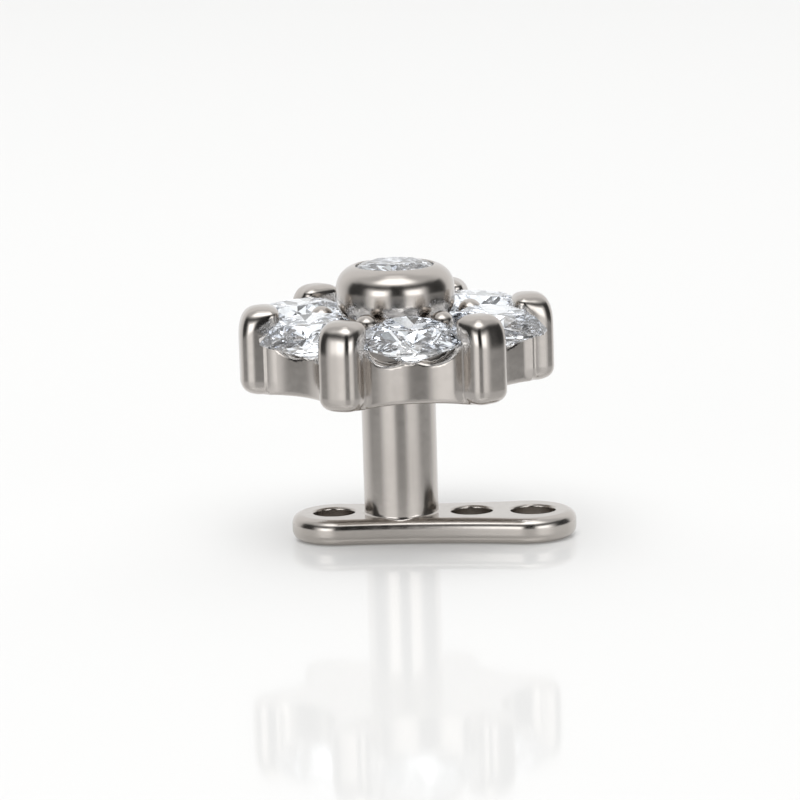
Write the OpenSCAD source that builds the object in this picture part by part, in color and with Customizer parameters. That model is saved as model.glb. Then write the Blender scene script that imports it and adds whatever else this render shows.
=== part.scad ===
// Micro-dermal anchor with its screw-in flower top: six round brilliants
// held by shared prongs around a raised, bezel-set centre stone.
// Millimetres, +Z up along the post, origin where the post's axis meets
// the underside of the foot plate, +X towards the long toe.

/* [Foot plate] */
// Thickness of the foot plate
plate_t = 0.68; // [0.5:0.02:0.9]
// Radius of the short heel end
heel_r = 1.17; // [1.1:0.01:1.4]
// Radius of the long toe end
toe_r = 1.25; // [1.2:0.01:1.4]
// Distance from the post's axis to the tip of the heel
heel_reach = 2.82; // [2.6:0.02:3.2]
// Distance from the post's axis to the tip of the toe
toe_reach = 4.47; // [4.1:0.02:5]
// Half the width of the plate at its waist
waist_half = 1.07; // [1.05:0.01:1.1]
// Radius of the plate's rounded edges
plate_edge = 0.12; // [0.05:0.01:0.2]
// Place of the hole in the heel
heel_hole_x = -1.74; // [-1.9:0.02:-1.6]
// Place of the inner hole in the toe
toe_hole_x = 1.8; // [1.7:0.02:2]
// Place of the hole at the tip of the toe
tip_hole_x = 3.37; // [3.2:0.02:3.5]
// Diameter of the heel hole and the inner toe hole
hole_d = 1.06; // [0.8:0.02:1.2]
// Diameter of the hole at the tip
tip_hole_d = 1.14; // [0.8:0.02:1.3]
// Width of the small chamfer round each hole
hole_chamfer = 0.05; // [0.02:0.01:0.1]

/* [Post] */
// Diameter of the post
post_d = 1.9; // [1.6:0.05:2]
// Radius of the fillet at the foot of the post
post_fillet = 0.08; // [0.04:0.01:0.12]
// Height of the top of the post above the underside
post_top = 3.98; // [3.2:0.02:4.4]

/* [Flower body] */
// Height of the underside of the flower's prongs
flower_z = 3.93; // [3.4:0.01:4.3]
// Reach of the six prongs from the axis
flower_r = 4.02; // [3.95:0.01:4.1]
// Direction of the first prong, in degrees from the toe
prong_turn = 11.3; // [0:0.1:30]
// Distance from the axis to the middle of a wall between prongs
wall_mid = 2.78; // [2.7:0.01:2.84]
// Radius of the hollow curve of each wall, seen from above
wall_curve = 2; // [1.8:0.05:2.2]
// Height of the walls' underside above the prongs' feet
wall_rise = 0.08; // [0.02:0.01:0.12]

/* [Prongs] */
// Width of a prong across its face
prong_w = 1.06; // [1.04:0.01:1.16]
// Thickness of a prong, in to out
prong_t = 1.02; // [0.98:0.01:1.1]
// Height of the top of the prongs above the underside of the plate
prong_top = 6.2; // [6.14:0.01:6.4]
// Radius of the upright edges of a prong
prong_edge = 0.38; // [0.2:0.02:0.44]
// Radius of the lower outer edge of a prong
prong_toe = 0.35; // [0.2:0.01:0.45]
// Distance from the axis to the small inner claws
claw_ring = 1.9; // [1.85:0.01:1.98]
// Diameter of a small inner claw
claw_d = 0.5; // [0.4:0.02:0.56]
// Height of the top of the small inner claws
claw_top = 6.1; // [6.02:0.01:6.14]

/* [Wall scallops] */
// Lowest point of a wall's scalloped top edge
scallop_z = 4.9; // [4.85:0.01:4.95]
// Radius of each scallop
scallop_r = 0.65; // [0.6:0.01:0.68]
// Half the distance between the two scallops of a wall
scallop_half = 0.5; // [0.46:0.01:0.54]

/* [Stones] */
// Diameter of the six petal stones
petal_d = 2.62; // [2.56:0.01:2.63]
// Distance from the axis to the middle of a petal stone
petal_ring = 2.7; // [2.69:0.01:2.72]
// Height of the girdle of the petal stones
petal_girdle_z = 5.54; // [5.52:0.01:5.58]
// Height of the crown of a petal stone above its girdle
petal_crown = 0.46; // [0.36:0.01:0.48]
// Depth of a petal stone below its girdle
petal_depth = 0.58; // [0.5:0.01:0.6]
// Lean of the petal stones away from the axis, in degrees
petal_lean = 5; // [0:0.5:6]
// Diameter of the centre stone
centre_d = 2.2; // [2.16:0.01:2.24]
// Height of the girdle of the centre stone
centre_girdle_z = 6.93; // [6.9:0.01:6.95]
// Height of the crown of the centre stone above its girdle
centre_crown = 0.24; // [0.2:0.01:0.28]
// Depth of the centre stone below its girdle
centre_depth = 0.86; // [0.6:0.01:0.95]

/* [Centre bezel] */
// Widest radius of the bezel
bezel_r = 1.49; // [1.46:0.01:1.52]
// Height of the bezel's rim
bezel_top = 7.09; // [7.04:0.01:7.14]
// Radius of the opening over the centre stone
bezel_mouth = 1.05; // [1.02:0.01:1.08]

/* [Hidden] */
$fn = 96;
petals = 6;
step = 360 / petals;
petal_turn = prong_turn + step / 2;

// How far a cut runs past the face that it opens
over = 1;

// Running gap between a stone and its seat, and between shank and bore, and the wider
// gap above and below a stone's facets
seat_gap = 0.02;
facet_gap = 0.05;

titanium = [0.74, 0.71, 0.68];
stone_clear = [0.9, 0.93, 0.96];

// The waist's arc touches both round ends, so its place follows from their radii
heel_x = heel_r - heel_reach;
toe_x = toe_reach - toe_r;
heel_k = 2 * (heel_r - waist_half);
toe_k = 2 * (toe_r - waist_half);
heel_c = heel_r * heel_r - waist_half * waist_half;
toe_c = toe_r * toe_r - waist_half * waist_half;
qa = toe_k - heel_k;
qb = -2 * (toe_k * heel_x - heel_k * toe_x);
qc = toe_k * (heel_x * heel_x - heel_c) - heel_k * (toe_x * toe_x - toe_c);
waist_x = (-qb + sqrt(qb * qb - 4 * qa * qc)) / (2 * qa);
waist_curve = ((waist_x - heel_x) * (waist_x - heel_x) - heel_c) / heel_k;
waist_y = waist_half + waist_curve;
heel_touch = touch_point(heel_x, heel_r);
toe_touch = touch_point(toe_x, toe_r);

// Threaded shank, drawn plain, and the blind bore that takes it
shank_r = 0.6;
shank_end = 1.5;
bore_end = 1.3;

// The prong's middle, and the radii of its domed top seen from the side and in front
prong_mid = flower_r - prong_t / 2;
shoulder_r = prong_t / 2;
prong_crown = 0.5;

// Core under the stones, whose rim ends inside the prongs
core_inset = 0.1;
core_r = prong_mid - core_inset;
core_top = 5.45;
floor_z = flower_z + wall_rise;

// The scallops' cuts start this far inside a wall's face and run out past it
scallop_in = 0.45;
scallop_run = 2;

// The bezel's rim is rolled round a straight column, and its belly starts at neck_z
bezel_column = 0.97;
rim_r = bezel_r - bezel_column;
neck_r = 0.74;
neck_z = 6.25;
sunk = 0.2;

// Proportions of a brilliant: table across the stone, star point between table and
// girdle, inner corner of the lower girdle facets, and the girdle's height
table_share = 0.58;
star_share = 0.5;
low_share = 0.3;
girdle = 0.05;

function touch_point(x, r) =
    let(dx = waist_x - x, d = r + waist_curve) [x + r * dx / d, r * waist_y / d];
function ring_point(r, z, a) = [r * cos(a), r * sin(a), z];

// Side shape of a rounded plate edge, from the axis out to r
module edge_profile(r) {
    square([r - plate_edge, plate_t]);
    translate([0, plate_edge]) square([r, plate_t - 2 * plate_edge]);
    translate([r - plate_edge, plate_edge]) circle(plate_edge);
    translate([r - plate_edge, plate_t - plate_edge]) circle(plate_edge);
}

// Rounded end of the plate
module plate_end(x, r) {
    translate([x, 0, 0]) rotate_extrude()
        intersection() {
            edge_profile(r);
            square([r, plate_t]);
        }
}

// Hollow side of the waist, with the same rounded edges
module waist_cut(side) {
    inner = waist_curve + plate_edge;
    translate([waist_x, side * waist_y, 0]) rotate_extrude($fn = 360)
        difference() {
            translate([0, -over]) square([inner, plate_t + 2 * over]);
            translate([waist_curve, plate_edge]) square([over, plate_t - 2 * plate_edge]);
            translate([inner, plate_edge]) circle(plate_edge);
            translate([inner, plate_t - plate_edge]) circle(plate_edge);
        }
}

// Round hole with a small chamfer at both faces
module plate_hole(x, d) {
    r = d / 2;
    c = hole_chamfer;
    translate([x, 0, 0]) rotate_extrude()
        polygon([[0, -over], [r + c + over, -over], [r, c], [r, plate_t - c],
                 [r + c + over, plate_t + over], [0, plate_t + over]]);
}

module foot_plate() {
    difference() {
        union() {
            plate_end(heel_x, heel_r);
            plate_end(toe_x, toe_r);
            difference() {
                linear_extrude(plate_t)
                    polygon([[heel_x, 0], heel_touch, toe_touch, [toe_x, 0],
                             [toe_touch.x, -toe_touch.y], [heel_touch.x, -heel_touch.y]]);
                waist_cut(1);
                waist_cut(-1);
            }
        }
        plate_hole(heel_hole_x, hole_d);
        plate_hole(toe_hole_x, hole_d);
        plate_hole(tip_hole_x, tip_hole_d);
    }
}

// Post with the fillet at its foot, kept inside the waist's flat top
module post() {
    r = post_d / 2;
    half = waist_half - plate_edge / 4;
    intersection() {
        rotate_extrude() difference() {
            union() {
                translate([0, plate_t / 2]) square([r, post_top - plate_t / 2]);
                translate([0, plate_t / 2]) square([r + post_fillet, plate_t / 2 + post_fillet]);
            }
            translate([r + post_fillet, plate_t + post_fillet]) circle(post_fillet);
        }
        translate([-post_d, -half, 0]) cube([2 * post_d, 2 * half, post_top]);
    }
}

module anchor() {
    color(titanium) difference() {
        union() {
            foot_plate();
            post();
        }
        translate([0, 0, bore_end]) cylinder(r = shank_r + seat_gap, h = post_top);
    }
}

// Rounded rectangle seen from above, made of circles and squares so its curves stay true
module rounded_rect(x, y, r) {
    square([x - 2 * r, y], center = true);
    square([x, y - 2 * r], center = true);
    for (sx = [-1, 1], sy = [-1, 1])
        translate([sx * (x / 2 - r), sy * (y / 2 - r)]) circle(r);
}

// Outer prong: a bar with a domed, inward leaning top and a rounded lower edge
module prong() {
    inner = prong_mid - shoulder_r;
    crown_z = prong_top - prong_crown;
    foot_z = flower_z + prong_toe;
    intersection() {
        translate([prong_mid, 0, flower_z])
            linear_extrude(prong_top - flower_z) rounded_rect(prong_t, prong_w, prong_edge);
        rotate_extrude() {
            translate([inner, flower_z + prong_toe])
                square([prong_t, prong_top - shoulder_r - flower_z - prong_toe]);
            translate([inner, flower_z]) square([prong_t - prong_toe, prong_toe]);
            translate([flower_r - prong_toe, flower_z + prong_toe]) circle(prong_toe);
            translate([prong_mid, prong_top - shoulder_r]) circle(shoulder_r);
        }
        translate([inner - over, 0, 0]) rotate([90, 0, 90]) linear_extrude(prong_t + 2 * over) {
            translate([-prong_w / 2, foot_z]) square([prong_w, crown_z - foot_z]);
            translate([prong_crown - prong_w / 2, foot_z])
                square([prong_w - 2 * prong_crown, prong_top - foot_z]);
            translate([prong_toe - prong_w / 2, flower_z])
                square([prong_w - 2 * prong_toe, prong_toe]);
            for (s = [-1, 1]) {
                translate([s * (prong_w / 2 - prong_crown), crown_z]) circle(prong_crown);
                translate([s * (prong_w / 2 - prong_toe), foot_z]) circle(prong_toe);
            }
        }
    }
}

// Small inner claw with a domed head
module claw() {
    r = claw_d / 2;
    translate([claw_ring, 0, floor_z]) cylinder(r = r, h = claw_top - r - floor_z);
    translate([claw_ring, 0, claw_top - r]) sphere(r);
}

// Body under the stones: a disc hollowed between the prongs, its rim scalloped above
module flower_core() {
    difference() {
        translate([0, 0, floor_z]) linear_extrude(core_top - floor_z) difference() {
            circle(core_r);
            for (i = [0 : petals - 1])
                rotate(petal_turn + i * step) translate([wall_mid + wall_curve, 0])
                    circle(wall_curve);
        }
        for (i = [0 : petals - 1], s = [-1, 1])
            rotate([0, 0, petal_turn + i * step])
                translate([wall_mid - scallop_in, s * scallop_half, scallop_z + scallop_r])
                    rotate([0, 90, 0]) cylinder(r = scallop_r, h = scallop_run);
    }
}

// Bulging cup round the centre stone
module bezel() {
    rim_z = bezel_top - rim_r;
    rotate_extrude() {
        translate([bezel_column, rim_z]) circle(rim_r);
        translate([bezel_column, neck_z]) square([rim_r, rim_z - neck_z]);
        intersection() {
            translate([bezel_r - neck_r, neck_z]) circle(neck_r);
            square([bezel_r, bezel_top]);
        }
        translate([0, core_top - sunk]) square([bezel_column, bezel_top - core_top + sunk]);
    }
}

// Room for a stone: the same two cones, a little larger all round. The turn keeps the
// start of the revolve away from the scallops.
module seat(d, crown, depth) {
    r = d / 2 + seat_gap;
    rotate([0, 0, 180]) rotate_extrude()
        polygon([[0, -depth - facet_gap], [r, -2 * seat_gap], [r, facet_gap],
                 [table_r(d) + facet_gap, crown + facet_gap], [0, crown + facet_gap]]);
}

module flower_setting() {
    color(titanium) difference() {
        union() {
            flower_core();
            for (i = [0 : petals - 1]) rotate([0, 0, prong_turn + i * step]) {
                prong();
                claw();
            }
            bezel();
            translate([0, 0, shank_end]) cylinder(r = shank_r, h = core_top - shank_end);
        }
        translate([0, 0, flower_z - over]) difference() {
            cylinder(r = post_d / 2 + seat_gap, h = over + post_top + seat_gap - flower_z);
            cylinder(r = shank_r, h = 2 * over);
        }
        for (i = [0 : petals - 1])
            rotate([0, 0, petal_turn + i * step]) translate([petal_ring, 0, petal_girdle_z])
                rotate([0, petal_lean, 0]) seat(petal_d, petal_crown, petal_depth);
        translate([0, 0, centre_girdle_z]) seat(centre_d, centre_crown, centre_depth);
        translate([0, 0, centre_girdle_z]) cylinder(r = bezel_mouth, h = over);
    }
}

// Round brilliant: eight sided table, star, kite and girdle facets above,
// main and lower girdle facets below. Height 0 is the girdle's lower edge.
function table_r(d) = table_share * d / 2;

module brilliant(d, crown, depth) {
    mains = 8;
    turn = 360 / mains;
    r = d / 2;
    table = table_r(d);
    star = table + star_share * (r - table);
    low = low_share * r;
    crown_slope = (crown - girdle) / (r - table);
    pavilion_slope = depth / r;
    star_z = girdle + (r - star * cos(turn / 2)) * crown_slope;
    low_z = low * cos(turn / 2) * pavilion_slope - depth;
    points = concat(
        [for (i = [0 : mains - 1]) ring_point(table, crown, i * turn)],
        [for (i = [0 : mains - 1]) ring_point(star, star_z, (i + 0.5) * turn)],
        [for (i = [0 : 2 * mains - 1]) ring_point(r, girdle, i * turn / 2)],
        [for (i = [0 : 2 * mains - 1]) ring_point(r, 0, i * turn / 2)],
        [for (i = [0 : mains - 1]) ring_point(low, low_z, (i + 0.5) * turn)],
        [[0, 0, -depth]]);
    stars = mains;
    upper = 2 * mains;
    lower = 4 * mains;
    lows = 6 * mains;
    culet = 7 * mains;
    faces = concat(
        [[for (i = [mains - 1 : -1 : 0]) i]],
        [for (i = [0 : mains - 1]) [i, (i + 1) % mains, stars + i]],
        [for (i = [0 : mains - 1])
            [i, stars + i, upper + 2 * i, stars + (i + mains - 1) % mains]],
        [for (i = [0 : mains - 1]) [stars + i, upper + 2 * i + 1, upper + 2 * i]],
        [for (i = [0 : mains - 1])
            [stars + i, upper + (2 * i + 2) % (2 * mains), upper + 2 * i + 1]],
        [for (i = [0 : 2 * mains - 1])
            let(j = (i + 1) % (2 * mains)) [upper + i, upper + j, lower + j, lower + i]],
        [for (i = [0 : mains - 1]) [lows + i, lower + 2 * i, lower + 2 * i + 1]],
        [for (i = [0 : mains - 1])
            [lows + i, lower + 2 * i + 1, lower + (2 * i + 2) % (2 * mains)]],
        [for (i = [0 : mains - 1])
            [culet, lows + (i + mains - 1) % mains, lower + 2 * i, lows + i]]);
    polyhedron(points, faces, convexity = 2);
}

module centre_stone() {
    color(stone_clear) translate([0, 0, centre_girdle_z])
        brilliant(centre_d, centre_crown, centre_depth);
}

module petal_stone(i) {
    color(stone_clear) rotate([0, 0, petal_turn + (i - 1) * step])
        translate([petal_ring, 0, petal_girdle_z]) rotate([0, petal_lean, 0])
            brilliant(petal_d, petal_crown, petal_depth);
}

anchor();
flower_setting();
centre_stone();
petal_stone(1);  // petal_stone_1
petal_stone(2);  // petal_stone_2
petal_stone(3);  // petal_stone_3
petal_stone(4);  // petal_stone_4
petal_stone(5);  // petal_stone_5
petal_stone(6);  // petal_stone_6
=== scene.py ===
import math

import bpy
import numpy as np
import openvdb
from mathutils import Matrix, Vector


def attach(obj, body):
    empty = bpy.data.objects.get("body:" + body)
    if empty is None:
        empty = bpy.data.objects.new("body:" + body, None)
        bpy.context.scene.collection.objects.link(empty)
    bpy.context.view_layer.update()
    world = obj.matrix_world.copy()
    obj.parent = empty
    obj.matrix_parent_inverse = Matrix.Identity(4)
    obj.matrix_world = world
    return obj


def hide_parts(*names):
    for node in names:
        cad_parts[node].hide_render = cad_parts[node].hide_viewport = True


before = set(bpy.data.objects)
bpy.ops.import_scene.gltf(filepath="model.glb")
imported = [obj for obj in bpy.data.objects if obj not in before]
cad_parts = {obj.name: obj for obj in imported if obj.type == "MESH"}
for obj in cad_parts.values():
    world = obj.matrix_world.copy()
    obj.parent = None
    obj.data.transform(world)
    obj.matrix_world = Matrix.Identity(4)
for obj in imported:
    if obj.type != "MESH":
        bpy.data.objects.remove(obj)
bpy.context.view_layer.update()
MM = 0.001

# The camera stands where the photograph was taken from: a long lens, low above the table
# and a little to the right of the plate's broad side, leaning by less than two degrees.
CAMERA_RISE = math.radians(10.8)
CAMERA_SIDE = math.radians(4.2)
CAMERA_LEAN = math.radians(1.7)
CAMERA_DISTANCE = 105 * MM
AIM_HEIGHT = 3.57 * MM
AIM_SIDE = 0.04 * MM
IMAGE_WIDTH = 800
PIXELS_PER_MM = 39.2
SENSOR_WIDTH = 36.0
NEAREST = 5 * MM
FARTHEST = 10.0

back = Vector((math.sin(CAMERA_SIDE) * math.cos(CAMERA_RISE),
               -math.cos(CAMERA_SIDE) * math.cos(CAMERA_RISE),
               math.sin(CAMERA_RISE)))
level_right = Vector((math.cos(CAMERA_SIDE), math.sin(CAMERA_SIDE), 0))
level_up = back.cross(level_right)
right = level_right * math.cos(CAMERA_LEAN) - level_up * math.sin(CAMERA_LEAN)
up = level_up * math.cos(CAMERA_LEAN) + level_right * math.sin(CAMERA_LEAN)
aim = Vector((0, 0, AIM_HEIGHT)) + level_right * AIM_SIDE

camera = bpy.data.objects.new("camera", bpy.data.cameras.new("camera"))
bpy.context.scene.collection.objects.link(camera)
camera.matrix_world = Matrix.Translation(aim + back * CAMERA_DISTANCE) @ Matrix(
    (right, up, back)).transposed().to_4x4()
camera.data.sensor_width = SENSOR_WIDTH
camera.data.lens = SENSOR_WIDTH * PIXELS_PER_MM * (CAMERA_DISTANCE / MM) / IMAGE_WIDTH
camera.data.clip_start = NEAREST
camera.data.clip_end = FARTHEST
bpy.context.scene.camera = camera


# The studio is a white sweep under soft panels. The polished metal shows the panels and the
# dark gaps between them as soft streaks, so they are laid out by direction around the jewel.
def linear(code):
    """The linear colour of an sRGB hex code such as C2BBB2."""
    parts = [int(code[i:i + 2], 16) / 255 for i in (0, 2, 4)]
    return [p / 12.92 if p <= 0.04045 else ((p + 0.055) / 1.055) ** 2.4 for p in parts] + [1.0]


def add(tree, kind, inputs=None, **settings):
    """Adds a node to a tree with its settings, its values and the links into it."""
    node = tree.nodes.new(kind)
    for name, value in settings.items():
        setattr(node, name, value)
    for name, value in (inputs or {}).items():
        if isinstance(value, bpy.types.NodeSocket):
            tree.links.new(value, node.inputs[name])
        else:
            node.inputs[name].default_value = value
    return node


SKY = 0.68
WIDE = 360
ZENITH = 90
# A panel further down the table covers those above it.
PANELS = [
    # side angle from the camera, half width, soft edge, lowest, highest, soft edge, brightness
    (180, 40, 40, -60, 60, 20, 0.98),
    (-33, 6, 24, -60, 12, 12, 0.96),
    (41, 6, 22, -60, 12, 12, 0.86),
    (6, 12, 12, -60, 12, 12, 0.6),
    (-31, 8, 12, -6, 15, 2, 2.5),
    (36, 9, 12, -6, 15, 2, 2.3),
    (0, 80, 34, 31, 33, 14, 0.08),
    (-82, 14, 15, -9.4, 30, 1, 0.05),
    (90, 16, 16, -9.4, 30, 1, 0.05),
    (4, 10, 7, -9.4, 42, 1, 0.01),
    (0, 28, 42, 54, 120, 10, 2.6),
    (0, WIDE, 0, 84, 120, 10, 1.3),
    (0, WIDE, 0, -120, -40, 14, 0.9),
]
SPARKLE_SIZE = 0.4
SPARKLES = [(0.0, "2C2F30"), (0.12, "8C9091"), (0.24, "C6C9C8"), (0.42, "FCFDFC")]
SPARKLE_LIGHT = 1.2

world = bpy.data.worlds.new("studio")
bpy.context.scene.world = world
world.use_nodes = True
tree = world.node_tree
tree.nodes.clear()
direction = add(tree, "ShaderNodeTexCoord").outputs["Generated"]
light = add(tree, "ShaderNodeValue")
light.outputs[0].default_value = SKY
brightness = light.outputs[0]
parts = add(tree, "ShaderNodeSeparateXYZ", {0: direction})
level = add(tree, "ShaderNodeVectorMath", {0: direction, 1: (1, 1, 0)}, operation="MULTIPLY")
level = add(tree, "ShaderNodeVectorMath", {0: level.outputs[0]}, operation="NORMALIZE")


def window(value, shut, wide):
    """Fades from 0 to 1 as a value goes from shut to wide open."""
    return add(tree, "ShaderNodeMapRange", {"Value": value, "From Min": shut, "From Max": wide},
               interpolation_type="SMOOTHSTEP").outputs["Result"]


for side, half, edge, low, high, fade, value in PANELS:
    turn = CAMERA_SIDE + math.radians(side)
    low_shut, low_open, high_open, high_shut = (
        math.sin(math.radians(max(-ZENITH, min(ZENITH, angle))))
        for angle in (low - fade, low, high, high + fade))
    inside = window(parts.outputs["Z"], low_shut, low_open)
    if high < ZENITH:
        below = window(parts.outputs["Z"], high_shut, high_open)
        inside = add(tree, "ShaderNodeMath", {0: inside, 1: below}, operation="MULTIPLY").outputs[0]
    if half < WIDE:
        facing = add(tree, "ShaderNodeVectorMath", {
            0: level.outputs[0], 1: (math.sin(turn), -math.cos(turn), 0)}, operation="DOT_PRODUCT")
        across = window(facing.outputs["Value"], math.cos(math.radians(half + edge)),
                        math.cos(math.radians(half)))
        inside = add(tree, "ShaderNodeMath", {0: inside, 1: across}, operation="MULTIPLY").outputs[0]
    mixed = add(tree, "ShaderNodeMix", {0: inside, 2: brightness, 3: value}, data_type="FLOAT")
    brightness = mixed.outputs[0]
path = add(tree, "ShaderNodeLightPath")
shown = add(tree, "ShaderNodeMix", {0: path.outputs["Is Camera Ray"], 2: brightness, 3: 1.0},
            data_type="FLOAT")
studio = add(tree, "ShaderNodeBackground", {"Color": (1, 1, 1, 1), "Strength": shown.outputs[0]})
# Light that has passed through a stone finds patches of light and shade, like a jeweller's lamps.
patches = add(tree, "ShaderNodeTexVoronoi", {"Vector": direction, "Scale": 1 / SPARKLE_SIZE})
tone = add(tree, "ShaderNodeSeparateColor", {0: patches.outputs["Color"]})
tints = add(tree, "ShaderNodeValToRGB", {0: tone.outputs[0]})
tints.color_ramp.interpolation = "CONSTANT"
for number, (start, code) in enumerate(SPARKLES):
    if number > 1:
        tints.color_ramp.elements.new(start)
    tints.color_ramp.elements[number].position = start
    tints.color_ramp.elements[number].color = linear(code)
sparkle = add(tree, "ShaderNodeBackground", {"Color": tints.outputs[0], "Strength": SPARKLE_LIGHT})
through_stone = add(tree, "ShaderNodeMath", {0: path.outputs["Transmission Depth"], 1: 0.5},
                    operation="GREATER_THAN")
sky = add(tree, "ShaderNodeMixShader", {
    0: through_stone.outputs[0], 1: studio.outputs[0], 2: sparkle.outputs[0]})
add(tree, "ShaderNodeOutputWorld", {"Surface": sky.outputs[0]})


# The floor is a large sheet of white acrylic, cast smooth and lit a little from within. It gives
# a faint shadow and a faint, clear reflection.
FLOOR_COLOUR = "D3D3D2"
FLOOR_LIGHT = 0.2
FLOOR_GLOSS = 0.14
FLOOR_ROUGHNESS = 0.06
FLOOR_NEAR = 2.5 * MM
FLOOR_FAR = 7 * MM
FLOOR_SIZE = 3.0

floor_mesh = bpy.data.meshes.new("floor")
half = FLOOR_SIZE / 2
floor_mesh.from_pydata([(-half, -half, 0), (half, -half, 0), (half, half, 0), (-half, half, 0)], [],
                       [(0, 1, 2, 3)])
floor = bpy.data.objects.new("floor", floor_mesh)
bpy.context.scene.collection.objects.link(floor)
acrylic = bpy.data.materials.new("white_lit_acrylic")
acrylic.use_nodes = True
tree = acrylic.node_tree
tree.nodes.clear()
matt = add(tree, "ShaderNodeBsdfDiffuse", {"Color": linear(FLOOR_COLOUR)})
glow = add(tree, "ShaderNodeEmission", {"Strength": FLOOR_LIGHT})
lit = add(tree, "ShaderNodeAddShader", {0: matt.outputs[0], 1: glow.outputs[0]})
gloss = add(tree, "ShaderNodeBsdfGlossy", {"Color": (1, 1, 1, 1), "Roughness": FLOOR_ROUGHNESS})
both = add(tree, "ShaderNodeMixShader", {0: FLOOR_GLOSS, 1: lit.outputs[0], 2: gloss.outputs[0]})
# The metal mirrors the floor close to it, and the studio's panels further off.
path = add(tree, "ShaderNodeLightPath")
far = add(tree, "ShaderNodeMapRange", {
    "Value": path.outputs["Ray Length"], "From Min": FLOOR_NEAR, "From Max": FLOOR_FAR})
unseen = add(tree, "ShaderNodeMath", {0: far.outputs[0], 1: path.outputs["Is Glossy Ray"]},
             operation="MULTIPLY")
gone = add(tree, "ShaderNodeBsdfTransparent")
ground = add(tree, "ShaderNodeMixShader", {
    0: unseen.outputs[0], 1: both.outputs[0], 2: gone.outputs[0]})
add(tree, "ShaderNodeOutputMaterial", {"Surface": ground.outputs[0]})
floor_mesh.materials.append(acrylic)


# A wide soft lamp hangs over the floor, a little to the left and in front. It lights the floor
# and the stones, but isn't mirrored in the metal, which shows only the panels.
LAMP_PLACE = (-0.05, -0.03, 0.3)
LAMP_LEAN = math.radians(-9)
LAMP_SIZE = 0.25
LAMP_POWER = 0.35

lamp = bpy.data.objects.new("top_light", bpy.data.lights.new("top_light", "AREA"))
bpy.context.scene.collection.objects.link(lamp)
lamp.location = LAMP_PLACE
lamp.rotation_euler = (0, LAMP_LEAN, 0)
lamp.data.size = LAMP_SIZE
lamp.data.energy = LAMP_POWER
lamp.visible_camera = False
lamp.visible_glossy = False

bpy.context.scene.view_settings.view_transform = "Standard"

# Light is followed through the stones' many inner reflections.
STONE_BOUNCES = 24
bpy.context.scene.cycles.max_bounces = STONE_BOUNCES
bpy.context.scene.cycles.glossy_bounces = STONE_BOUNCES
bpy.context.scene.cycles.transmission_bounces = STONE_BOUNCES


# The anchor is one piece of implant titanium: a waisted foot plate with three round holes,
# and the round post with its bore. It is machined, and tumbled to a satin polish all over.
PLATE_THICK = 0.68
HEEL_RADIUS = 1.17
TOE_RADIUS = 1.25
HEEL_REACH = 2.82
TOE_REACH = 4.47
HEEL_X = HEEL_RADIUS - HEEL_REACH
TOE_X = TOE_REACH - TOE_RADIUS
WAIST_HALF = 1.07
PLATE_EDGE = 0.26
HOLES = [(-1.74, 0.53), (1.8, 0.53), (3.37, 0.57)]
HOLE_EDGE = 0.06
POST_RADIUS = 0.95
POST_TOP = 3.98
POST_FILLET = 0.05
POST_EDGE = 0.03
BORE_RADIUS = 0.62
BORE_END = 1.3
ANCHOR_ROOM = ((-3.0, -1.4, -0.1), (4.65, 1.4, 4.1))
ANCHOR_KEPT = 0.5
FINE = 0.04
SLOPE_STEP = 0.002
LEAST_SLOPE = 0.05
SETTLE_ROUNDS = 3


def rounded_join(a, b, radius):
    """Two solids joined with a fillet of that radius between them."""
    near = np.hypot(np.maximum(radius - a, 0), np.maximum(radius - b, 0))
    return np.maximum(radius, np.minimum(a, b)) - near


def rounded_cut(a, b, radius):
    """What two solids share, with the edge between them rounded."""
    near = np.hypot(np.maximum(radius + a, 0), np.maximum(radius + b, 0))
    return np.minimum(-radius, np.maximum(a, b)) + near


def slope(depth, points):
    """The gradient of a depth function at each point."""
    sides = []
    for axis in range(3):
        ahead = points.copy()
        behind = points.copy()
        ahead[:, axis] += SLOPE_STEP
        behind[:, axis] -= SLOPE_STEP
        sides.append((depth(*ahead.T) - depth(*behind.T)) / (2 * SLOPE_STEP))
    return np.stack(sides, axis=1)


def settle(depth, points):
    """Moves points along the gradient until they lie on the surface."""
    for _ in range(SETTLE_ROUNDS):
        grade = slope(depth, points)
        size = np.maximum((grade ** 2).sum(axis=1), LEAST_SLOPE)
        points = points - (depth(*points.T) / size)[:, None] * grade
    return points


def cast(name, depth, room, kept, material):
    """A closed mesh of the surface where a depth function in millimetres is zero."""
    low, high = room
    counts = [int(math.ceil((b - a) / FINE)) + 1 for a, b in zip(low, high)]
    axes = [a + FINE * np.arange(n) for a, n in zip(low, counts)]
    values = depth(axes[0][:, None, None], axes[1][None, :, None], axes[2][None, None, :])
    grid = openvdb.FloatGrid(1.0)
    grid.copyFromArray(np.ascontiguousarray(values, dtype=np.float32))
    points, triangles, quads = grid.convertToPolygons(isovalue=0.0, adaptivity=0.0)
    points = settle(depth, np.array(low) + FINE * points.astype(float))
    mesh = bpy.data.meshes.new(name)
    mesh.from_pydata(points * MM, [], quads.tolist() + triangles.tolist())
    piece = bpy.data.objects.new(name, mesh)
    bpy.context.scene.collection.objects.link(piece)
    thin = piece.modifiers.new("thin", "DECIMATE")
    thin.ratio = kept
    bpy.context.view_layer.update()
    final = bpy.data.meshes.new_from_object(piece.evaluated_get(
        bpy.context.evaluated_depsgraph_get()))
    piece.modifiers.clear()
    piece.data = final
    final.name = name
    bpy.data.meshes.remove(mesh)
    points = np.empty(len(final.vertices) * 3)
    final.vertices.foreach_get("co", points)
    points = settle(depth, points.reshape(-1, 3) / MM)
    final.vertices.foreach_set("co", (points * MM).ravel())
    final.shade_smooth()
    normals = slope(depth, points)
    normals /= np.linalg.norm(normals, axis=1)[:, None]
    final.normals_split_custom_set_from_vertices(normals.tolist())
    final.materials.append(material)
    return piece


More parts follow.
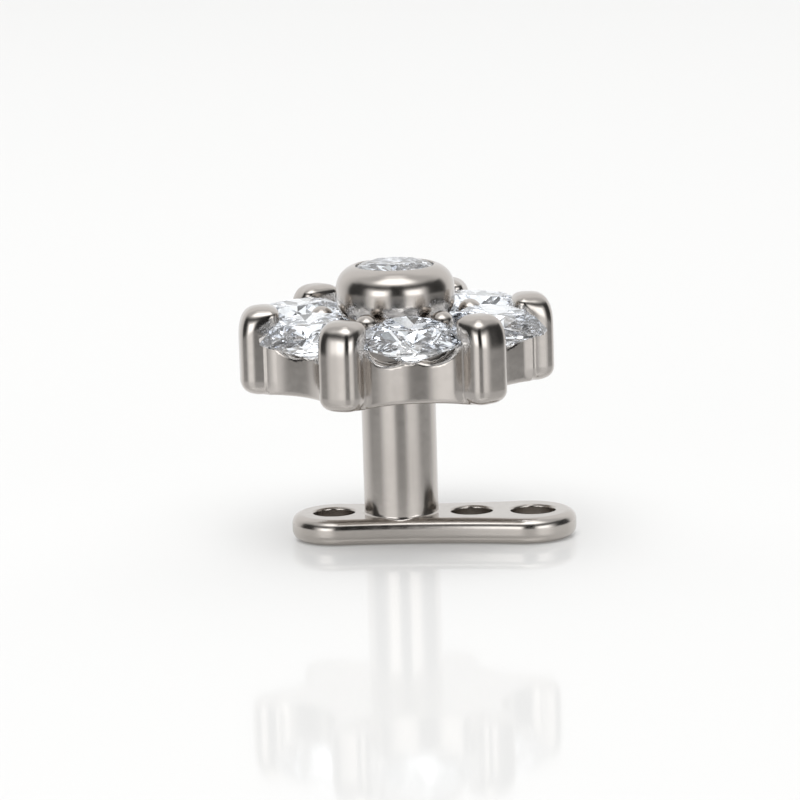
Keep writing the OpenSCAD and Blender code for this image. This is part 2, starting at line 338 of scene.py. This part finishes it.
# The waist is an arc that touches both round ends, so its centre lies where two lengths agree,
# which is a quadratic in x.
heel_gain = 2 * (HEEL_RADIUS - WAIST_HALF)
toe_gain = 2 * (TOE_RADIUS - WAIST_HALF)
heel_rest = HEEL_RADIUS ** 2 - WAIST_HALF ** 2
toe_rest = TOE_RADIUS ** 2 - WAIST_HALF ** 2
squared = toe_gain - heel_gain
single = -2 * (toe_gain * HEEL_X - heel_gain * TOE_X)
alone = toe_gain * (HEEL_X ** 2 - heel_rest) - heel_gain * (TOE_X ** 2 - toe_rest)
waist_x = (-single + math.sqrt(single * single - 4 * squared * alone)) / (2 * squared)
waist_curve = ((waist_x - HEEL_X) ** 2 - heel_rest) / heel_gain
waist_y = WAIST_HALF + waist_curve


def anchor_depth(x, y, z):
    """How far outside the anchor a point is, in millimetres: less than zero in the metal."""
    y = np.abs(y)
    r = np.hypot(x, y)
    ends = np.minimum(np.hypot(x - HEEL_X, y) - HEEL_RADIUS, np.hypot(x - TOE_X, y) - TOE_RADIUS)
    waist = waist_curve - np.hypot(x - waist_x, y - waist_y)
    past_heel = (x - waist_x) * waist_y - (waist_y - y) * (HEEL_X - waist_x)
    past_toe = (waist_y - y) * (TOE_X - waist_x) - (x - waist_x) * waist_y
    outline = np.where((past_heel > 0) & (past_toe > 0), waist, ends)
    plate = rounded_cut(outline, np.abs(z - PLATE_THICK / 2) - PLATE_THICK / 2, PLATE_EDGE)
    for place, radius in HOLES:
        plate = rounded_cut(plate, radius - np.hypot(x - place, y), HOLE_EDGE)
    shaft = np.maximum(r - POST_RADIUS, PLATE_THICK / 2 - z)
    shaft = rounded_cut(shaft, z - POST_TOP, POST_EDGE)
    body = rounded_join(plate, shaft, POST_FILLET)
    return rounded_cut(body, -np.maximum(r - BORE_RADIUS, BORE_END - z), POST_EDGE)


# Implant titanium is a warm grey metal. Its gloss is hazy and a little uneven, drawn out along
# the upright, and its reflections waver slightly. The real marks of the polishing are too fine
# to show, so the haze is drawn coarser than they are.
TITANIUM_LIGHT = "C6C1BC"
TITANIUM_DARK = "BCB6B0"
CLOUD_SIZE = 1.6 * MM
HAZE_SIZE = 0.2 * MM
HAZE_DRAWN = (1, 1, 0.08)
HAZE_FINE = 4.0
HAZE_LOW = 0.3
HAZE_HIGH = 0.7
RIPPLE_SIZE = 0.3 * MM
RIPPLE_DEPTH = 0.0015 * MM
SATIN = (0.16, 0.24)


def titanium(name, smooth, rough):
    """Titanium polished to a sheen between two roughnesses."""
    metal = bpy.data.materials.new(name)
    metal.use_nodes = True
    tree = metal.node_tree
    tree.nodes.clear()
    place = add(tree, "ShaderNodeTexCoord").outputs["Object"]
    cloud = add(tree, "ShaderNodeTexNoise", {
        "Vector": place, "Scale": 1 / CLOUD_SIZE, "Detail": 1.0})
    tint = add(tree, "ShaderNodeMix", {
        0: cloud.outputs[0], 6: linear(TITANIUM_DARK), 7: linear(TITANIUM_LIGHT)}, data_type="RGBA")
    drawn = add(tree, "ShaderNodeVectorMath", {0: place, 1: HAZE_DRAWN}, operation="MULTIPLY")
    haze = add(tree, "ShaderNodeTexNoise", {
        "Vector": drawn.outputs[0], "Scale": 1 / HAZE_SIZE, "Detail": HAZE_FINE})
    dull = add(tree, "ShaderNodeMapRange", {
        "Value": haze.outputs[0], "From Min": HAZE_LOW, "From Max": HAZE_HIGH,
        "To Min": smooth, "To Max": rough})
    ripple = add(tree, "ShaderNodeTexNoise", {
        "Vector": place, "Scale": 1 / RIPPLE_SIZE, "Detail": 1.0})
    wave = add(tree, "ShaderNodeBump", {"Height": ripple.outputs[0], "Distance": RIPPLE_DEPTH})
    surface = add(tree, "ShaderNodeBsdfPrincipled", {
        "Base Color": tint.outputs[2], "Metallic": 1.0, "Roughness": dull.outputs[0],
        "Normal": wave.outputs[0]})
    add(tree, "ShaderNodeOutputMaterial", {"Surface": surface.outputs[0]})
    return metal


anchor = cast("anchor_polished", anchor_depth, ANCHOR_ROOM, ANCHOR_KEPT,
              titanium("satin_titanium", *SATIN))
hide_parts("anchor")
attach(anchor, "root")


# The flower is cast in titanium and polished as one piece: six round prongs joined by walls
# that curve inward, six small claws on the inside, and the cup that is rolled over the centre
# stone. Its shank goes down into the post's bore.
PETALS = 6
STEP = 2 * math.pi / PETALS
PRONG_TURN = math.radians(11.3)
FLOWER_LOW = 3.93
FLOWER_RADIUS = 4.02
PRONG_TOP = 6.2
PRONG_MIDDLE = 3.4
PRONG_INNER = 0.42
PRONG_HALF = 0.555
PRONG_DOME = 0.42
PRONG_SLOPE = 0.72
PRONG_NOSE = 0.3
PRONG_JOIN = 0.13
PRONG_FOOT = 0.42
PRONG_SQUARE = 3.1
PRONG_ROUND = 2.6
WALL_MIDDLE = 2.78
WALL_CURVE = 2.0
WALL_LOW = 3.97
WALL_FOOT = 0.1
CORE_TOP = 5.45
CORE_RADIUS = 3.41
SCALLOP_LOW = 4.97
SCALLOP_RADIUS = 0.65
SCALLOP_HALF = 0.5
SCALLOP_INSIDE = 0.3
SCALLOP_EDGE = 0.075
CLAW_RING = 1.9
CLAW_RADIUS = 0.3
CLAW_TOP = 6.1
CLAW_LOW = WALL_LOW + 1
BEZEL_RADIUS = 1.51
BEZEL_TOP = 7.09
BEZEL_RIM = 0.6
BEZEL_BELLY = 0.6
BEZEL_BELLY_Z = 6.2
BEZEL_MOUTH = 0.98
MOUTH_EDGE = 0.06
SHANK_RADIUS = 0.6
SHANK_END = 1.5
STONE_GAP = 0.012
SEAT_GAP = 0.02
PETAL_DIAMETER = 2.62
PETAL_RING = 2.7
PETAL_Z = 5.54
PETAL_LEAN = math.radians(5)
PETAL_CROWN = 0.46
PETAL_DEPTH = 0.58
CENTRE_DIAMETER = 2.2
CENTRE_Z = 6.93
CENTRE_CROWN = 0.24
CENTRE_DEPTH = 0.86
TABLE_SHARE = 0.58
EDGE = 0.035
FLOWER_ROOM = ((-4.1, -4.1, 1.4), (4.1, 4.1, 7.2))
FLOWER_KEPT = 0.68
POLISHED = (0.16, 0.22)


def seat_depth(out, height, diameter, crown, depth):
    """The room cut for a stone: two cones back to back, a little larger than the stone."""
    wide = diameter / 2 + STONE_GAP
    table = TABLE_SHARE * diameter / 2 + SEAT_GAP
    drop = depth + SEAT_GAP - 2 * STONE_GAP
    below = ((out - wide) * drop - (height + 2 * STONE_GAP) * wide) / math.hypot(wide, drop)
    above = ((out - wide) * crown + (height - SEAT_GAP) * (wide - table)) / math.hypot(
        crown, wide - table)
    return np.maximum(np.maximum(below, above), out - wide)


def flower_depth(x, y, z):
    """How far outside the flower's metal a point is, in millimetres."""
    r = np.hypot(x, y)
    angle = np.arctan2(y, x) - PRONG_TURN
    angle = np.abs(angle - STEP * np.round(angle / STEP))
    out = r * np.cos(angle)
    off = r * np.sin(angle)
    petal_out = r * np.cos(STEP / 2 - angle)
    petal_off = r * np.sin(STEP / 2 - angle)

    # A prong is a rounded bar whose top falls away more on its outer side than over the stones.
    reach = np.where(out > PRONG_MIDDLE, FLOWER_RADIUS - PRONG_MIDDLE, PRONG_INNER)
    plan = ((np.abs(out - PRONG_MIDDLE) / reach) ** PRONG_SQUARE
            + (off / PRONG_HALF) ** PRONG_SQUARE)
    dome = np.maximum(PRONG_DOME + (out - PRONG_MIDDLE) * PRONG_SLOPE, PRONG_NOSE)
    dome = np.maximum(z - PRONG_TOP + dome, 0) / dome
    foot = np.maximum(FLOWER_LOW + PRONG_FOOT - z, 0) / PRONG_FOOT
    plan = plan ** (PRONG_ROUND / PRONG_SQUARE)
    prong = (plan + dome ** PRONG_ROUND + foot ** PRONG_ROUND) ** (1 / PRONG_ROUND) - 1
    prong = prong * PRONG_HALF

    # The walls curve inward between the prongs, with two scallops in each upper edge.
    wall = WALL_CURVE - np.hypot(petal_out - WALL_MIDDLE - WALL_CURVE, petal_off)
    core = np.maximum(wall, r - CORE_RADIUS)
    core = rounded_cut(core, z - CORE_TOP, EDGE)
    core = rounded_cut(core, WALL_LOW - z, WALL_FOOT)
    scallop = np.hypot(petal_off - SCALLOP_HALF, z - SCALLOP_LOW - SCALLOP_RADIUS) - SCALLOP_RADIUS
    scallop = np.maximum(scallop, WALL_MIDDLE - SCALLOP_INSIDE - petal_out)
    core = rounded_cut(core, -scallop, SCALLOP_EDGE)
    body = rounded_join(core, prong, PRONG_JOIN)

    # The cup is rolled in at its rim and rounded under its belly. The claws are small round posts.
    rim = np.hypot(np.maximum(r - BEZEL_RADIUS + BEZEL_RIM, 0),
                   np.maximum(z - BEZEL_TOP + BEZEL_RIM, 0)) - BEZEL_RIM
    belly = np.hypot(np.maximum(r - BEZEL_RADIUS + BEZEL_BELLY, 0),
                     np.maximum(BEZEL_BELLY_Z - z, 0)) - BEZEL_BELLY
    body = rounded_join(body, np.maximum(rim, belly), EDGE)
    claw = np.hypot(np.hypot(out - CLAW_RING, off), np.maximum(z - CLAW_TOP + CLAW_RADIUS, 0))
    claw = np.maximum(claw - CLAW_RADIUS, CLAW_LOW - z)
    body = rounded_join(body, claw, EDGE)

    # The seats are cut last, leaning with their stones, and the shank goes down into the post.
    beyond = petal_out - PETAL_RING
    petal_up = beyond * math.sin(PETAL_LEAN) + (z - PETAL_Z) * math.cos(PETAL_LEAN)
    beyond = beyond * math.cos(PETAL_LEAN) - (z - PETAL_Z) * math.sin(PETAL_LEAN)
    body = rounded_cut(body, -seat_depth(np.hypot(beyond, petal_off), petal_up, PETAL_DIAMETER,
                                         PETAL_CROWN, PETAL_DEPTH), EDGE)
    body = rounded_cut(body, -seat_depth(r, z - CENTRE_Z, CENTRE_DIAMETER, CENTRE_CROWN,
                                         CENTRE_DEPTH), EDGE)
    body = rounded_cut(body, -np.maximum(r - BEZEL_MOUTH, CENTRE_Z - z), MOUTH_EDGE)
    shank = np.maximum(np.maximum(r - SHANK_RADIUS, SHANK_END - z), z - CORE_TOP)
    return np.minimum(body, shank)


setting = cast("flower_setting_polished", flower_depth, FLOWER_ROOM, FLOWER_KEPT,
               titanium("polished_titanium", *POLISHED))
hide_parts("flower_setting")
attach(setting, "root")


# The stones are round brilliants of clear cubic zirconia, ground and polished to flat facets.
# The centre one sits in its cup, the six petals in seats cut into walls, prongs and claws.
ZIRCONIA_IOR = 2.16
ZIRCONIA_CLEAR = "FFFFFF"
ZIRCONIA_SHADE = "F1F4F8"
ZIRCONIA_WEAR = 0.006
CLOUDING_SIZE = 0.7 * MM
CLOUDING_START = 0.45
MIRROR_COLOUR = "F7F8FA"
MIRROR_WEAR = 0.012
GIRDLE = 0.05
STAR_SHARE = 0.79
LOW_SHARE = 0.3
CULET_SHARE = 0.03
MAINS = 8
LOOKS_DOWN = -0.01

# Polished zirconia is colourless and bright. A faint cool clouding, and a trace of wear with it,
# keep its facets from looking all alike.
zirconia = bpy.data.materials.new("cubic_zirconia")
zirconia.use_nodes = True
tree = zirconia.node_tree
tree.nodes.clear()
place = add(tree, "ShaderNodeTexCoord").outputs["Object"]
cloud = add(tree, "ShaderNodeTexNoise", {"Vector": place, "Scale": 1 / CLOUDING_SIZE})
tint = add(tree, "ShaderNodeMix", {0: cloud.outputs[0], 6: linear(ZIRCONIA_CLEAR),
                                   7: linear(ZIRCONIA_SHADE)}, data_type="RGBA")
wear = add(tree, "ShaderNodeMapRange", {"Value": cloud.outputs[0], "From Min": CLOUDING_START,
                                        "To Max": ZIRCONIA_WEAR})
gem = add(tree, "ShaderNodeBsdfPrincipled", {
    "Base Color": tint.outputs[2], "Roughness": wear.outputs[0], "IOR": ZIRCONIA_IOR,
    "Transmission Weight": 1.0})
add(tree, "ShaderNodeOutputMaterial", {"Surface": gem.outputs[0]})

# The facets below the girdle throw all light back, which in the real, deeper stones is done
# by total reflection. Here they are mirrors from inside the stone, and clear from outside.
mirror = bpy.data.materials.new("zirconia_total_reflection")
mirror.use_nodes = True
tree = mirror.node_tree
tree.nodes.clear()
place = add(tree, "ShaderNodeTexCoord").outputs["Object"]
cloud = add(tree, "ShaderNodeTexNoise", {"Vector": place, "Scale": 1 / CLOUDING_SIZE})
wear = add(tree, "ShaderNodeMapRange", {"Value": cloud.outputs[0], "From Min": CLOUDING_START,
                                        "To Max": MIRROR_WEAR})
inner = add(tree, "ShaderNodeNewGeometry").outputs["Backfacing"]
face = add(tree, "ShaderNodeBsdfPrincipled", {
    "Base Color": linear(MIRROR_COLOUR), "Metallic": inner, "Roughness": wear.outputs[0],
    "IOR": ZIRCONIA_IOR, "Transmission Weight": 1.0})
add(tree, "ShaderNodeOutputMaterial", {"Surface": face.outputs[0]})

brilliant = bpy.data.node_groups.new("round_brilliant", "GeometryNodeTree")
brilliant.interface.new_socket("Geometry", in_out="OUTPUT", socket_type="NodeSocketGeometry")
for name in ("Diameter", "Crown", "Depth", "Ring", "Turn", "Height", "Lean"):
    brilliant.interface.new_socket(name, in_out="INPUT", socket_type="NodeSocketFloat")
made = add(brilliant, "NodeGroupInput").outputs
half = add(brilliant, "ShaderNodeMath", {0: made["Diameter"], 1: 0.5}, operation="MULTIPLY")
slant = add(brilliant, "ShaderNodeMath", {0: made["Crown"], 1: GIRDLE * MM}, operation="SUBTRACT")
turned = math.pi / MAINS
star_rise = (1 - STAR_SHARE * math.cos(turned)) / (1 - TABLE_SHARE)
joined = add(brilliant, "GeometryNodeJoinGeometry")
# Rings of corners: table, stars, upper and lower edge of the girdle, lower facets and culet.
for corners, share, rise, sink, twist in [
        (MAINS, TABLE_SHARE, 1.0, 0.0, 0.0),
        (MAINS, STAR_SHARE, star_rise, 0.0, turned),
        (2 * MAINS, 1.0, 0.0, 0.0, 0.0),
        (2 * MAINS, 1.0, None, 0.0, 0.0),
        (MAINS, LOW_SHARE, None, 1 - LOW_SHARE * math.cos(turned), turned),
        (MAINS, CULET_SHARE, None, 1 - CULET_SHARE * math.cos(turned), turned)]:
    wide = add(brilliant, "ShaderNodeMath", {0: half.outputs[0], 1: share}, operation="MULTIPLY")
    circle = add(brilliant, "GeometryNodeMeshCircle", {"Vertices": corners,
                                                       "Radius": wide.outputs[0]})
    if rise is None:
        level = add(brilliant, "ShaderNodeMath", {0: made["Depth"], 1: -sink},
                    operation="MULTIPLY")
    else:
        level = add(brilliant, "ShaderNodeMath", {
            0: slant.outputs[0], 1: rise, 2: GIRDLE * MM}, operation="MULTIPLY_ADD")
    lift = add(brilliant, "ShaderNodeCombineXYZ", {"Z": level.outputs[0]})
    moved = add(brilliant, "GeometryNodeTransform", {
        "Geometry": circle.outputs[0], "Translation": lift.outputs[0], "Rotation": (0, 0, twist)})
    brilliant.links.new(moved.outputs[0], joined.inputs[0])
hull = add(brilliant, "GeometryNodeConvexHull", {0: joined.outputs[0]})
facets = add(brilliant, "GeometryNodeSetShadeSmooth", {
    "Geometry": hull.outputs[0], "Shade Smooth": False})
faces_way = add(brilliant, "ShaderNodeSeparateXYZ", {0: add(
    brilliant, "GeometryNodeInputNormal").outputs[0]})
downward = add(brilliant, "FunctionNodeCompare", {0: faces_way.outputs["Z"], 1: LOOKS_DOWN},
               data_type="FLOAT", operation="LESS_THAN")
kept = add(brilliant, "GeometryNodeCaptureAttribute", {"Geometry": facets.outputs[0]},
           domain="FACE")
kept.capture_items.new("BOOLEAN", "pavilion")
brilliant.links.new(downward.outputs[0], kept.inputs["pavilion"])
lean = add(brilliant, "ShaderNodeCombineXYZ", {"Y": made["Lean"]})
spot = add(brilliant, "ShaderNodeCombineXYZ", {"X": made["Ring"], "Z": made["Height"]})
leant = add(brilliant, "GeometryNodeTransform", {
    "Geometry": kept.outputs["Geometry"], "Translation": spot.outputs[0],
    "Rotation": lean.outputs[0]})
about = add(brilliant, "ShaderNodeCombineXYZ", {"Z": made["Turn"]})
placed = add(brilliant, "GeometryNodeTransform", {
    "Geometry": leant.outputs[0], "Rotation": about.outputs[0]})
real = add(brilliant, "GeometryNodeRealizeInstances", {"Geometry": placed.outputs[0]})
clear = add(brilliant, "GeometryNodeSetMaterial", {
    "Geometry": real.outputs[0], "Material": zirconia})
backed = add(brilliant, "GeometryNodeSetMaterial", {
    "Geometry": clear.outputs[0], "Selection": kept.outputs["pavilion"], "Material": mirror})
add(brilliant, "NodeGroupOutput", {0: backed.outputs[0]})

# One tree cuts all seven stones. The petals are numbered anticlockwise from the toe, seen from
# above, and each lies between two prongs.
sockets = {item.name: item.identifier for item in brilliant.interface.items_tree
           if item.in_out == "INPUT"}
stones = [("centre_stone", CENTRE_DIAMETER, CENTRE_CROWN, CENTRE_DEPTH, 0.0, 0.0, CENTRE_Z, 0.0)]
for petal in range(PETALS):
    stones.append((f"petal_stone_{petal + 1}", PETAL_DIAMETER, PETAL_CROWN, PETAL_DEPTH,
                   PETAL_RING, PRONG_TURN + (petal + 0.5) * STEP, PETAL_Z, PETAL_LEAN))
for node, diameter, crown, depth, ring, turn, height, lean in stones:
    stone = bpy.data.objects.new(node + "_cut", bpy.data.meshes.new(node + "_cut"))
    bpy.context.scene.collection.objects.link(stone)
    cutter = stone.modifiers.new("brilliant", "NODES")
    cutter.node_group = brilliant
    for name, value in (("Diameter", diameter * MM), ("Crown", crown * MM), ("Depth", depth * MM),
                        ("Ring", ring * MM), ("Turn", turn), ("Height", height * MM),
                        ("Lean", lean)):
        cutter[sockets[name]] = value
    bpy.context.view_layer.update()
    cut = bpy.data.meshes.new_from_object(stone.evaluated_get(
        bpy.context.evaluated_depsgraph_get()))
    stone.modifiers.clear()
    stone.data = cut
    cut.name = node + "_cut"
    cut.materials.pop(index=0)
    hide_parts(node)
    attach(stone, "root")
